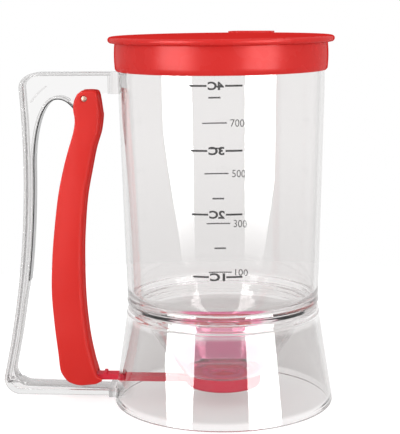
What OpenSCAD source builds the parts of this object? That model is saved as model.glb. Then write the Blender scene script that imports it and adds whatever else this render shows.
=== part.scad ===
// Pancake batter dispenser: a clear jug with a funnel, on a clear skirt, with a press-on lid.
// Squeezing the lever in the handle pulls a flat gate from under the outlet.
// Origin on the jug's axis, in the plane of the table. +Z up, the handle towards -X.

/* [Jug] */
// Height of the jug's rim above the table
rim_h = 183.6; // [165:0.2:205]
// Outside diameter of the jug at its rim
rim_d = 102.8; // [100:0.2:106]
// Height of the straight land under the rim
rim_land = 22; // [17:0.5:30]
// Outside diameter of the jug at its waist
waist_d = 97; // [93:0.2:99]
// Height of the waist, where the jug plugs into the skirt
waist_h = 50; // [46:0.5:56]
// Wall of the jug and of its funnel
jug_wall = 2; // [1.6:0.1:2.4]
// Height of the spigot under the waist
spigot_h = 5; // [3:0.5:7]
// How far the funnel's side bows towards the axis
funnel_bow = 1; // [0:0.1:2]

/* [Lid] */
// Height of the lid's outer band below the jug's rim
band_h = 14.6; // [10:0.2:18]
// Wall of the lid's band
band_wall = 1.1; // [0.8:0.1:1.8]
// Thickness of the lid's top
lid_t = 2.2; // [1.6:0.1:3]
// How far the flange stands out past the band
flange_out = 3.4; // [2.4:0.1:6]
// Thickness of the flange, which has a full round edge
flange_t = 3.1; // [2.4:0.1:3.6]
// Width of the pull tab
tab_w = 24; // [16:1:34]
// How far the pull tab stands out past the flange
tab_out = 5.5; // [3:0.5:10]
// Direction of the pull tab, counted from +X
tab_turn = 80; // [60:1:120]

/* [Skirt] */
// Outside diameter of the skirt at the table
base_d = 112.4; // [108:0.2:118]
// Wall of the skirt
skirt_wall = 2.2; // [1.8:0.1:2.6]
// Height of the foot ring at the bottom of the skirt
foot_h = 2; // [1:0.2:3]

/* [Outlet and gate] */
// Diameter of the outlet hole
outlet_d = 14; // [10:0.5:14.5]
// Outside diameter of the outlet cap
cap_d = 38.6; // [37:0.2:41]
// Wall of the cap's side
cap_wall = 1.4; // [1:0.1:1.8]
// Floor of the cap
cap_floor = 1.2; // [1:0.1:2.6]
// Height of the gate's underside above the table
gate_z = 9.2; // [8.4:0.1:10]
// Thickness of the gate and its arm
gate_t = 2.8; // [2:0.1:3.2]
// Width of the gate's tongue
gate_w = 20; // [18:0.5:23]
// Width of the arm
arm_w = 7; // [5:0.2:7.4]
// How far the gate laps past the outlet's edge when it is shut
gate_lap = 2; // [1:0.1:2.4]

/* [Handle] */
// Distance from the jug's axis to the grip's outer face
grip_x = 100; // [98:0.2:106]
// How much further out the foot of the grip kicks
foot_kick = 16.4; // [8:0.5:20]
// Height at which the grip stands upright
kick_h = 127; // [115:1:140]
// Depth of the grip from its outer face to the opening
grip_depth = 4.5; // [3.6:0.1:5]
// Width of the frame's outer flange
frame_w = 13; // [11.5:0.5:16]
// Thickness of the flanges
frame_t = 1.6; // [1.2:0.1:1.8]
// Thickness of the web between the flanges
web_t = 3; // [2:0.2:3.4]
// Width of the flange round the opening
inner_w = 9; // [8:0.2:10]
// Gap between the lid's band and the top bar
bar_gap = 0.7; // [0.6:0.1:3]
// Height of the top bar where it meets the jug
bar_h = 10.7; // [9:0.1:11.4]
// Height of the bottom bar's underside above the table
foot_bar_z = 1.5; // [1:0.1:1.8]
// Thickness of the bottom bar at the skirt
foot_bar_t = 3.7; // [3:0.1:4.2]

/* [Lever] */
// Distance from the jug's axis to the lever's pivot
pivot_x = 68.4; // [67.6:0.1:69.4]
// Height of the pivot below the top bar's upper face
pivot_drop = 13.1; // [12.4:0.1:13.8]
// Width of the lever
lever_w = 12.5; // [12:0.1:14]
// Wall of the lever
lever_wall = 2; // [1.6:0.1:2.2]
// Diameter of the pivot pin
pin_d = 3; // [2:0.1:3.6]
// Angle that the lever swings when it is squeezed
squeeze = 6.5; // [4:0.5:6.5]

/* [Spring] */
// Thickness of the leaf spring
spring_t = 0.5; // [0.3:0.1:0.8]
// Width of the leaf spring
spring_w = 6.8; // [5:0.2:7.8]
// Height of the spring's lower end above the table
spring_end = 61.5; // [50:1:80]

/* [Hidden] */
$fn = 96;

// fits and clearances
plug_fit = 0.1;         // between the spigot and the skirt, and the cap and the neck
lid_fit = 0.25;         // between the lid's band and the rim
slide_gap = 0.1;        // under the gate, and half of the play at its sides
side_gap = 0.2;
run_fit = 0.05;         // radial, round a turning pin
joint_gap = 0.1;        // round a tongue in its socket
spring_gap = 0.1;       // between the spring and the flange it lies on
cheek_gap = 0.25;       // between the lever's bosses and the web
eps = 0.01;

// colours
clear_col = [0.86, 0.88, 0.9, 0.45];
red_col = [0.82, 0.14, 0.12];
steel_col = [0.45, 0.45, 0.44];
seal_col = [0.85, 0.85, 0.82];

// jug
rim_r = rim_d / 2;
waist_r = waist_d / 2;
land_z = rim_h - rim_land;
spigot_r = waist_r - skirt_wall;
spigot_in_r = spigot_r - jug_wall;
bead_out = 0.45;        // the beads round the waist
bead_h = 1.5;

// outlet stack, from the gate upwards
seal_gap = 0.15;
seal_stand = 0.5;       // the seal's height below the outlet floor, with its gap
groove_h = 1.1;
neck_h = 2.5;
gate_top = gate_z + gate_t;
floor_under = gate_top + seal_stand;
groove_top = floor_under + groove_h;
cap_top = floor_under + neck_h;
cap_r = cap_d / 2;
neck_r = cap_r - cap_wall - plug_fit;
outlet_r = outlet_d / 2;
seal_in_r = outlet_r + 1.4;
seal_w = 2.6;
floor_t = 2.1;          // the outlet floor at the hole's edge
cap_floor_top = gate_z - slide_gap;
cap_bottom = cap_floor_top - cap_floor;
cap_round = 1.6;

// funnel, outside: from inside the spigot down to the shoulder over the cap
funnel_top = [spigot_in_r, waist_h];
funnel_low = [cap_r + 1.6, cap_top];

// lid
band_in_r = rim_r + lid_fit;
band_out_r = band_in_r + band_wall;
band_z = rim_h - band_h;
flange_r = band_out_r + flange_out;
lid_top = rim_h + lid_t;
tab_t = 2;
tab_lift = 0.7;
tab_corner = 4;

// skirt
base_r = base_d / 2;
arm_slot_gap = 0.8;
arm_slot_side = 0.8;
boss_out = 3.1;         // how far the frame's pads stand out of the jug and the skirt
boss_side = 0.5;

// handle
bar_z = band_z - bar_gap;
bar_low = bar_z - bar_h;
foot_corner = 8.5;
top_corner = [10, 7.5];
pivot_z = bar_z - pivot_drop;
pivot = [-pivot_x, pivot_z];
tongue_r = 4.6;         // the web's end round the pivot
tongue_to_x = 64;       // where the web steps up to clear the lever's wall
leg_thin = 0.5;         // the grip is thinner by this below the spring
leg_fade = 8;           // height over which it gets thinner
inner_corner = 8;       // radius of the opening's corner at the foot of the grip
gusset = [5.5, 15, 13.5, 5.6]; // the rib across the upper corner, from the grip's face and the bar
gusset_t = 0.8;
arch_cx = 82;           // the opening's arch: its crown, its height and its two half widths
arch_top = bar_z - 13;
arch_rise = 37.1;
arch_right = 16.4;
arch_z = arch_top - arch_rise;
arch_end = 19;          // angle at which the spring ends on the lever's wall
flange_end_x = 76;      // the inner flange stops short of the lever's cheeks
bar_rise = 1.2;          // the bottom bar is thicker by this at the grip
bar_end_x = jug_out_r((bar_z + bar_low) / 2) + boss_out;
foot_end_x = skirt_out_r(foot_bar_z) + boss_out;
tongue_len = 2.6;

// lever
lever_drawn = 143.6;    // the lever's length that these points are drawn for: how far each lies
                        // from the pivot towards the jug, and below it
front = [[-1, -4.1], [3.2, -4.2], [6.4, -3.5], [7.3, 0], [8.4, 6.7], [8.6, 9.4], [7.5, 16.8],
         [4.8, 25.3], [2.5, 35.6], [-0.4, 50.1], [-2, 65.6], [-2.8, 80.8], [-2.7, 102.5],
         [-1.2, 120.8], [1.1, 134.3], [2.6, 140.9], [3.1, 143.6]];
toe = [[4.7, 144.5], [5.9, 145.4], [5.4, 146.4]];
back = [[2.5, 147.8], [-5.7, 148.6], [-10.4, 147.4], [-12.6, 146], [-15.1, 142.5], [-16.1, 139],
        [-16.7, 132.1], [-18.2, 117], [-19.2, 100.5], [-18.8, 87.3], [-17.5, 71.8], [-14.6, 50],
        [-11.3, 35], [-8.6, 25.6], [-5.8, 16.7], [-4.9, 10.8], [-5.5, 5.5], [-5.1, 1.4],
        [-3.4, -2.3]];
link_back = 2.9;        // the cross bar lies behind the pivot, and above the gate's underside
link_up = 2.4;
link_x = pivot_x + link_back;
link_z = gate_z + link_up;
link_d = 3;
lever_run = pivot_z - link_z;
stop_gap = 0.4;         // between the lever's wall and the web, where the lever rests
cheek_in = lever_w / 2 - lever_wall;
pin_recess = 0.75;
pin_bush_r = 4;
rib_t = 1.4;

// arm
fork_play = 0.1;
fork_wall = 1.4;
fork_drop = 0.2;
fork_over = 0.9;        // the fork's reach above the bar's highest middle
link_rise = lever_run * (1 - cos(squeeze)) + link_back * sin(squeeze);
tip_x = outlet_r + gate_lap;
travel = lever_run * sin(squeeze);
tongue_back = 3.2;      // the gate's wide tongue ends this far inside the cap's side
tongue_back_x = cap_r - tongue_back;
tip_round = 3;
collar_x = 61.4;
collar_t = 1.6;
collar_up = 1;

// radius of the jug's outside at a height
function jug_out_r(z) = z > land_z ? rim_r
    : waist_r + (rim_r - waist_r) * (z - waist_h) / (land_z - waist_h);

// radius of the skirt's outside at a height
function skirt_out_r(z) = base_r + (waist_r - base_r) * z / waist_h;

// points from a to b along a curve that bows to the left of the way by sag
function bow(a, b, sag, n = 10) =
    let (d = b - a, side = [-d[1], d[0]] / norm(d))
    [for (i = [0:n]) let (t = i / n) a + d * t + side * 4 * sag * t * (1 - t)];

// points on an arc
function arc(c, rx, rz, from, to, n = 8) =
    [for (i = [0:n]) let (a = from + (to - from) * i / n) c + [rx * cos(a), rz * sin(a)]];

// one point of a smooth curve through four
function through(p, q, r, s, t) =
    0.5 * (2 * q + (r - p) * t + (2 * p - 5 * q + 4 * r - s) * t * t
           + (3 * q - p - 3 * r + s) * t * t * t);

// a smooth curve through a list of points
function smooth(pts, n = 3) = let (last = len(pts) - 1) concat(
    [for (i = [0:last - 1]) for (k = [0:n - 1])
        through(pts[max(i - 1, 0)], pts[i], pts[i + 1], pts[min(i + 2, last)], k / n)],
    [pts[last]]);

function reversed(v) = [for (i = [len(v) - 1:-1:0]) v[i]];

// a strip of thickness t along a path
function strip(path, t) =
    let (last = len(path) - 1,
         side = [for (i = [0:last])
             let (d = path[min(i + 1, last)] - path[max(i - 1, 0)]) [-d[1], d[0]] / norm(d)])
    concat([for (i = [0:last]) path[i] + side[i] * t / 2],
           [for (i = [last:-1:0]) path[i] - side[i] * t / 2]);

// the grip's outer face at a height, moved inwards by d
function grip_face(z, d = 0) = -(grip_x + foot_kick * pow(1 - z / kick_h, 2)) + d;

// the frame's outline, moved inwards by d
function frame_edge(d) =
    let (zl = foot_bar_z + foot_corner, zh = bar_z - top_corner[1])
    concat(
        [[-foot_end_x, foot_bar_z + d]],
        arc([grip_face(zl) + foot_corner, zl], foot_corner - d, foot_corner - d, 270, 184, 6),
        [for (i = [1:12]) let (z = zl + (zh - zl) * i / 12) [grip_face(z, d), z]],
        arc([grip_face(zh) + top_corner[0], zh], top_corner[0] - d, top_corner[1] - d, 168, 90, 6),
        [[-bar_end_x, bar_z - d]]);

// the line of the opening's edge up the grip and round the arch, moved outwards by d
function leg_face(z, d) =
    grip_face(z, grip_depth - d - leg_thin * min(1, max(0, (spring_end - 1 - z) / leg_fade)));
function opening_arch(d, to) = let (left = -arch_cx - leg_face(arch_z, d)) concat(
    [for (i = [0:9]) [-arch_cx - left * pow(cos(10 * i), 0.9), arch_z + (arch_rise + d) * sin(10 * i)]],
    arc([-arch_cx, arch_z], arch_right + d, arch_rise + d, 84, to, 9));

// the opening of the frame
function opening_edge(d) =
    let (bar_up = foot_bar_z + foot_bar_t, zl = bar_up + bar_rise + inner_corner)
    concat(
        [[0, bar_up - d], [-foot_end_x, bar_up - d]],
        arc([leg_face(zl, 0) + inner_corner, zl], inner_corner + d, inner_corner + d, 266, 184, 6),
        [for (i = [1:10]) let (z = zl + (arch_z - zl) * i / 10) [leg_face(z, d), z]],
        opening_arch(d, 62),
        [[-pivot_x, pivot_z - tongue_r], [-tongue_to_x, pivot_z - tongue_r + 2],
         [-tongue_to_x, bar_low], [0, bar_low]]);

// turns a flat outline in x and z into a plate of width w, centred on the handle's plane
module plate(w) {
    rotate([90, 0, 0]) linear_extrude(w, center = true) children();
}

module lid() {
    color(red_col) {
        difference() {
            rotate_extrude() {
                polygon(concat(
                    [[0, rim_h], [band_in_r, rim_h], [band_in_r, band_z + 0.3],
                     [band_in_r + 0.3, band_z], [band_out_r - 0.7, band_z]],
                    bow([band_out_r, band_z + 0.9], [band_out_r, lid_top - flange_t], -0.35, 6),
                    arc([flange_r - flange_t / 2, lid_top - flange_t / 2],
                        flange_t / 2, flange_t / 2, -90, 90, 8),
                    [[band_in_r - 3, lid_top], [band_in_r - 4.5, lid_top - 0.5],
                     [0, lid_top - 0.2]]));
            }
        }
        // pull tab, a round-cornered plate that rises a little from the flange
        rotate([0, 0, tab_turn]) difference() {
            translate([flange_r - 4, 0, lid_top - tab_t + tab_lift]) linear_extrude(tab_t) {
                translate([0, -tab_w / 2]) square([4 + tab_out - tab_corner, tab_w]);
                translate([0, tab_corner - tab_w / 2]) square([4 + tab_out, tab_w - 2 * tab_corner]);
                for (s = [-1, 1])
                    translate([4 + tab_out - tab_corner, s * (tab_w / 2 - tab_corner)])
                        circle(tab_corner);
            }
            cylinder(h = rim_h, r = flange_r - flange_t);
        }
    }
}

module hopper() {
    slope = (funnel_top - funnel_low) / norm(funnel_top - funnel_low);
    inwards = [-slope[1], slope[0]] * jug_wall;
    in_top_r = waist_r - jug_wall;
    funnel_side = bow(funnel_top, funnel_low, -funnel_bow);
    in_start = funnel_top + inwards;
    in_meet = in_start + slope * (in_top_r - in_start[0]) / slope[0];
    color(clear_col) difference() {
        union() {
            rotate_extrude() polygon(concat(
                [[0, rim_h], [rim_r - 0.5, rim_h], [rim_r, rim_h - 0.5], [rim_r, land_z],
                 [jug_out_r(waist_h + 4.5), waist_h + 4.5],
                 [waist_r + bead_out, waist_h + 4], [waist_r + bead_out, waist_h + 4 - bead_h],
                 [waist_r, waist_h + 2], [waist_r, waist_h],
                 [spigot_r - plug_fit, waist_h], [spigot_r - plug_fit, waist_h - spigot_h],
                 [spigot_in_r, waist_h - spigot_h]],
                funnel_side,
                [[neck_r, cap_top], [neck_r, floor_under], [0, floor_under]]));
            // pad that the handle's top bar seats on
            translate([-bar_end_x, -frame_w / 2 - boss_side, bar_low])
                cube([boss_out + 3, frame_w + 2 * boss_side, bar_h]);
        }
        // inside of the jug and the funnel
        rotate_extrude() polygon(concat(
            [[0, floor_under + floor_t], [outlet_r, floor_under + floor_t]],
            reversed([for (p = funnel_side) p + inwards]),
            [in_meet, [jug_out_r(land_z) - jug_wall, land_z], [rim_r - jug_wall, rim_h + 1],
             [0, rim_h + 1]]));
        // outlet hole and the groove for the seal
        translate([0, 0, floor_under - 1]) cylinder(h = floor_t + 2, r = outlet_r);
        translate([0, 0, floor_under - 1]) difference() {
            cylinder(h = groove_h + 1, r = seal_in_r + seal_w + 0.1);
            translate([0, 0, -1]) cylinder(h = groove_h + 3, r = seal_in_r - 0.1);
        }
        // socket for the top bar's tongue
        translate([-bar_end_x - 1, -web_t / 2 - joint_gap, bar_low + 2 - joint_gap])
            cube([1 + tongue_len + joint_gap, web_t + 2 * joint_gap, bar_h - 4 + 2 * joint_gap]);
    }
}

module base_skirt() {
    foot_step = 0.5;
    color(clear_col) difference() {
        union() {
            rotate_extrude() polygon([
                [base_r - skirt_wall - foot_step, 0], [base_r - 0.4, 0], [base_r, 0.4],
                [skirt_out_r(waist_h - 4.5), waist_h - 4.5],
                [skirt_out_r(waist_h - 4) + bead_out, waist_h - 4],
                [skirt_out_r(waist_h - 4 + bead_h) + bead_out, waist_h - 4 + bead_h],
                [skirt_out_r(waist_h - 2), waist_h - 2],
                [waist_r, waist_h - 0.6], [waist_r - 0.3, waist_h], [spigot_r, waist_h],
                [spigot_r, waist_h - spigot_h - 0.5],
                [skirt_out_r(foot_h + 1) - skirt_wall, foot_h + 1],
                [base_r - skirt_wall - foot_step, foot_h]]);
            // pad that the handle's bottom bar seats on
            difference() {
                translate([-foot_end_x, -frame_w / 2 - boss_side, foot_bar_z - 0.7])
                    cube([boss_out + 3, frame_w + 2 * boss_side, foot_bar_t + 1.4]);
                translate([0, 0, -1]) cylinder(h = waist_h, r = base_r - skirt_wall - foot_step);
            }
        }
        // slot for the arm
        translate([-base_r - 1, -arm_w / 2 - arm_slot_side, gate_z - arm_slot_gap])
            cube([base_r / 2, arm_w + 2 * arm_slot_side, gate_t + 2 * arm_slot_gap]);
        // socket for the bottom bar's tongue
        translate([-foot_end_x - 1, -frame_w / 3 - joint_gap, foot_bar_z + 0.8 - joint_gap])
            cube([1 + tongue_len + joint_gap, frame_w * 2 / 3 + 2 * joint_gap,
                  foot_bar_t - 1.6 + 2 * joint_gap]);
    }
}

module outlet_cap() {
    guide_w = gate_w + 2 * side_gap;
    color(red_col) difference() {
        rotate_extrude() polygon(concat(
            [[0, cap_bottom]],
            arc([cap_r - cap_round, cap_bottom + cap_round], cap_round, cap_round, -90, 0, 6),
            [[cap_r, cap_top], [0, cap_top]]));
        // seat for the neck
        translate([0, 0, floor_under]) cylinder(h = neck_h + 1, r = neck_r + plug_fit);
        // guide that the gate slides in, open at the arm's side
        translate([-cap_r - 1, -guide_w / 2, cap_floor_top])
            cube([cap_r + 1 + tip_x + 1, guide_w, floor_under - cap_floor_top + 1]);
        // room for the seal, which stands a little below the outlet floor
        translate([0, 0, gate_top]) cylinder(h = seal_stand + 1, r = seal_in_r + seal_w + 0.2);
        // outlet hole, a little flared below
        translate([0, 0, cap_bottom - 1]) cylinder(h = cap_floor + 2, r = outlet_r);
        translate([0, 0, cap_bottom - eps])
            cylinder(h = 0.8, r1 = outlet_r + 0.8, r2 = outlet_r - eps);
    }
}

module gate_seal() {
    color(seal_col) translate([0, 0, gate_top + seal_gap]) difference() {
        cylinder(h = groove_top - gate_top - seal_gap, r = seal_in_r + seal_w);
        translate([0, 0, -1]) cylinder(h = groove_top, r = seal_in_r);
    }
}

module gate_slide() {
    fork_x0 = link_x + link_d / 2 + fork_play + fork_wall;
    fork_x1 = link_x - link_d / 2 - fork_play - fork_wall;
    fork_low = gate_z - fork_drop;
    fork_top = link_z + link_rise + fork_over;
    slot_low = link_z - link_d / 2 - fork_play;
    color(red_col) {
        difference() {
            union() {
                // tongue under the outlet, round at its tip
                translate([-tongue_back_x, -gate_w / 2, gate_z])
                    cube([tongue_back_x + tip_x - tip_round, gate_w, gate_t]);
                translate([-tip_round, tip_round - gate_w / 2, gate_z])
                    cube([tip_x + tip_round, gate_w - 2 * tip_round, gate_t]);
                for (s = [-1, 1])
                    translate([tip_x - tip_round, s * (gate_w / 2 - tip_round), gate_z])
                        cylinder(h = gate_t, r = tip_round);
                // arm
                translate([-fork_x1 - 1, -arm_w / 2, gate_z])
                    cube([fork_x1 + 1 - tongue_back_x + 1, arm_w, gate_t]);
                // collar beside the lever
                translate([-collar_x - collar_t / 2, -arm_w / 2, gate_z + gate_t - eps])
                    cube([collar_t, arm_w, collar_up + eps]);
                // upturned fork that takes the lever's cross bar
                translate([-fork_x0, -arm_w / 2, fork_low])
                    cube([fork_x0 - fork_x1, arm_w, fork_top - fork_low]);
            }
            translate([-link_x, 0, link_z]) rotate([90, 0, 0])
                cylinder(h = arm_w + 2, r = link_d / 2 + fork_play, center = true);
            translate([-link_x - link_d / 2 - fork_play, -arm_w, link_z])
                cube([link_d + 2 * fork_play, 2 * arm_w, fork_top]);
        }
    }
}

module handle_frame() {
    color(clear_col) difference() {
        union() {
            // web, with a round tongue for the pivot
            plate(web_t) difference() {
                polygon(concat(frame_edge(0),
                    [[-bar_end_x, bar_low], [-foot_end_x, foot_bar_z + foot_bar_t]]));
                polygon(opening_edge(0));
            }
            plate(web_t) translate(pivot) circle(tongue_r);
            // flange round the outside, and the top bar's upper flange
            plate(frame_w) polygon(concat(frame_edge(0), reversed(frame_edge(frame_t))));
            // bottom bar
            plate(frame_w) intersection() {
                difference() {
                    polygon(concat(frame_edge(0), [[-foot_end_x, bar_z]]));
                    polygon(opening_edge(0));
                }
                translate([-200, 0]) square([200 - foot_end_x, foot_bar_z + foot_bar_t + bar_rise + 2]);
            }
            // flange round the opening, up to the lever
            plate(inner_w) intersection() {
                difference() {
                    polygon(opening_edge(frame_t - 0.4));
                    polygon(opening_edge(0));
                }
                translate([-200, foot_bar_z + 1]) square([200 - flange_end_x, bar_z]);
            }
            // rib across the upper corner
            plate(web_t + 2 * gusset_t) polygon(strip(bow(
                [grip_face(bar_z) + gusset[0], bar_z - gusset[1]],
                [grip_face(bar_z) + gusset[2], bar_z - frame_t - gusset[3]], -0.6, 6), gusset_t));
            // end plate and tongue at the jug
            plate(frame_w) translate([-bar_end_x - 1.6, bar_low]) square([1.6, bar_h]);
            plate(web_t) translate([-bar_end_x - eps, bar_low + 2])
                square([tongue_len + eps, bar_h - 4]);
            // tongue at the skirt
            plate(frame_w * 2 / 3) translate([-foot_end_x - eps, foot_bar_z + 0.8])
                square([tongue_len + eps, foot_bar_t - 1.6]);
        }
        // pivot bore
        translate([-pivot_x, 0, pivot_z]) rotate([90, 0, 0])
            cylinder(h = frame_w, r = pin_d / 2 + run_fit, center = true);
    }
}

// a point of the lever's outline
function lever_at(p) = [p[0] - pivot_x, pivot_z - p[1] * lever_run / lever_drawn];

module trigger_lever() {
    front_edge = smooth([for (p = front) lever_at(p)]);
    outline = concat(front_edge, [for (p = toe) lever_at(p)], smooth([for (p = back) lever_at(p)]));
    wall_top = bar_low - stop_gap;
    wall_low = gate_top + 1.4;
    color(red_col) difference() {
        union() {
            // the two cheeks
            difference() {
                plate(lever_w) polygon(outline);
                plate(2 * cheek_in) translate([-200, -50]) square([200, 300]);
            }
            // wall on the side of the jug
            plate(lever_w - eps) intersection() {
                polygon(concat(front_edge,
                    reversed([for (p = front_edge) p - [lever_wall + 0.2, 0]])));
                translate([-200, wall_low]) square([200, wall_top - wall_low]);
            }
            // ribs across the channel
            for (f = [0.3, 0.45, 0.6, 0.75]) plate(lever_w - 1) intersection() {
                polygon(outline);
                translate(lever_at([-9, f * lever_drawn]) - [0, rib_t / 2]) square([30, rib_t]);
            }
            // bosses inside the cheeks, round the pin
            for (s = [-1, 1])
                translate([-pivot_x, s * (cheek_in + web_t / 2 + cheek_gap) / 2, pivot_z])
                    rotate([90, 0, 0]) cylinder(h = cheek_in - web_t / 2 - cheek_gap + 2 * eps,
                                                r = pin_bush_r, center = true);
            // cross bar at the foot
            translate([-link_x, 0, link_z]) rotate([90, 0, 0])
                cylinder(h = 2 * cheek_in + 1, r = link_d / 2, center = true);
        }
        // bore and recesses for the pin
        translate([-pivot_x, 0, pivot_z]) rotate([90, 0, 0]) {
            cylinder(h = lever_w + 2, r = pin_d / 2 + 0.02, center = true);
            for (s = [-1, 1]) translate([0, 0, s * (lever_w / 2)])
                cylinder(h = 2 * pin_recess, r = pin_d / 2 + 0.4, center = true);
        }
    }
}

module pivot_pin() {
    color(steel_col) translate([-pivot_x, 0, pivot_z]) rotate([90, 0, 0])
        cylinder(h = lever_w - 2 * pin_recess, d = pin_d, center = true);
}

module leaf_spring() {
    d = -spring_gap - spring_t / 2;
    leg = [for (i = [0:8]) let (z = spring_end + (arch_z - spring_end) * i / 8) [leg_face(z, d), z]];
    arch = opening_arch(d, arch_end);
    color(steel_col) plate(spring_w)
        polygon(strip(concat(leg, [for (i = [1:len(arch) - 1]) arch[i]]), spring_t));
}

lid();
hopper();
base_skirt();
outlet_cap();
gate_seal();
gate_slide();
handle_frame();
trigger_lever();
pivot_pin();
leaf_spring();
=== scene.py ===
import math
from itertools import repeat
import bmesh
import bpy
from mathutils import Matrix, Vector


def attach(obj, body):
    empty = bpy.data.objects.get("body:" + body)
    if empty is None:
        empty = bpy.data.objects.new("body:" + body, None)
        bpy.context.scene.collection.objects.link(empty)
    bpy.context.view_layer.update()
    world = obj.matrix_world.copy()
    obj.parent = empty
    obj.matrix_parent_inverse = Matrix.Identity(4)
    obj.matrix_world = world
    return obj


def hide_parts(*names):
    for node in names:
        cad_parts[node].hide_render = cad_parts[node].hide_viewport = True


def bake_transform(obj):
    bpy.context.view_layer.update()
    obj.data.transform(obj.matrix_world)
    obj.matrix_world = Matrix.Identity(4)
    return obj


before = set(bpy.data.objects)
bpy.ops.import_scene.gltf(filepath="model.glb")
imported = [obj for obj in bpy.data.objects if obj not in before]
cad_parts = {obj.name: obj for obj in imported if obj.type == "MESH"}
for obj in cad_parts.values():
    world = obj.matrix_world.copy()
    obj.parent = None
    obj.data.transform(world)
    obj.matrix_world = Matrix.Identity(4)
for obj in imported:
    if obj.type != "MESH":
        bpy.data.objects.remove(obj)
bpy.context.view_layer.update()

mm = 0.001
scene = bpy.context.scene
scene.view_settings.view_transform = "Standard"
print("frame loaded:", len(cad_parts), "nodes")


def paint(mesh, material):
    mesh.materials.clear()
    mesh.materials.append(material)


def addObject(name, data, material=None):
    made = bpy.data.objects.new(name, data)
    scene.collection.objects.link(made)
    if material:
        paint(data, material)
    return made


def opened(mesh):
    shape = bmesh.new()
    shape.from_mesh(mesh)
    return shape


def saved(shape, mesh):
    shape.to_mesh(mesh)
    shape.free()
    return mesh


def tidyMesh(mesh, keep=1e-7):
    shape = opened(mesh)
    bmesh.ops.remove_doubles(shape, verts=shape.verts, dist=keep)
    bmesh.ops.recalc_face_normals(shape, faces=shape.faces)
    saved(shape, mesh)


def smoothShade(mesh, degrees):
    for face in mesh.polygons:
        face.use_smooth = True
    mesh.set_sharp_from_angle(angle=math.radians(degrees))


def settle(piece, name=None):  # the evaluated result as a plain mesh, with no modifier left
    name = name or piece.name
    graph = bpy.context.evaluated_depsgraph_get()
    mesh = bpy.data.meshes.new_from_object(piece.evaluated_get(graph))
    bpy.data.objects.remove(piece)
    return addObject(name, mesh)


def cutWith(piece, cutter, how="DIFFERENCE"):
    change = piece.modifiers.new("cut", "BOOLEAN")
    change.operation, change.solver, change.object = how, "EXACT", cutter
    done = settle(piece)
    bpy.data.objects.remove(cutter)
    return done


def bridged(name, rings):  # a closed solid from rings of equal length
    shape = bmesh.new()
    rows = [[shape.verts.new(point) for point in ring] for ring in rings]
    count = len(rows[0])
    for a, b in zip(rows, rows[1:]):
        for i in range(count):
            k = (i + 1) % count
            shape.faces.new((a[i], a[k], b[k], b[i]))
    shape.faces.new(list(reversed(rows[0])))
    shape.faces.new(rows[-1])
    bmesh.ops.recalc_face_normals(shape, faces=shape.faces)
    return addObject(name, saved(shape, bpy.data.meshes.new(name)))


def slab(name, outline, half):  # an outline in x and z, in mm, as a plate across the handle's plane
    return bridged(name, [[(x * mm, y * mm, z * mm) for x, z in outline] for y in (-half, half)])


def rod(name, x, z, radius, low, high, sides=48):  # a cylinder along y, in mm
    x, z, radius, low, high = (value * mm for value in (x, z, radius, low, high))
    turns = [math.tau * i / sides for i in range(sides)]
    return bridged(name, [[(x + radius * math.cos(a), y, z + radius * math.sin(a)) for a in turns]
                          for y in (low, high)])


def smoothLine(points, steps):  # a smooth curve through points, as the solid part has it
    line = []
    last = len(points) - 1
    for i in range(last):
        p, q, r, s = (Vector(points[max(0, min(last, i + k))]) for k in (-1, 0, 1, 2))
        for k in range(steps):
            t = k / steps
            line.append(0.5 * (2 * q + (r - p) * t + (2 * p - 5 * q + 4 * r - s) * t * t
                               + (3 * q - p - 3 * r + s) * t * t * t))
    return line + [Vector(points[-1])]


class Nodes:  # adds nodes to a tree, and links them
    def __init__(self, tree):
        self.tree = tree

    def add(self, kind, **inputs):
        node = self.tree.nodes.new(kind)
        for key, value in inputs.items():
            node.inputs[key].default_value = value
        return node

    def link(self, a, b):
        self.tree.links.new(a, b)

    def join(self, a, b, key=0):  # one node's first output to another node's input
        self.link(a.outputs[0], b.inputs[key])

    def spread(self, source, low, high, fromLow=0.3, fromHigh=0.7):  # from one range to another
        node = self.add("ShaderNodeMapRange")
        for i, value in enumerate((fromLow, fromHigh, low, high)):
            node.inputs[i + 1].default_value = value
        self.link(source, node.inputs[0])
        return node.outputs[0]

    def maths(self, how, *values):
        node = self.add("ShaderNodeMath")
        node.operation = how
        for socket, value in zip(node.inputs, values):
            if isinstance(value, (int, float)):
                socket.default_value = value
            else:
                self.link(value, socket)
        return node.outputs[0]


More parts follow.
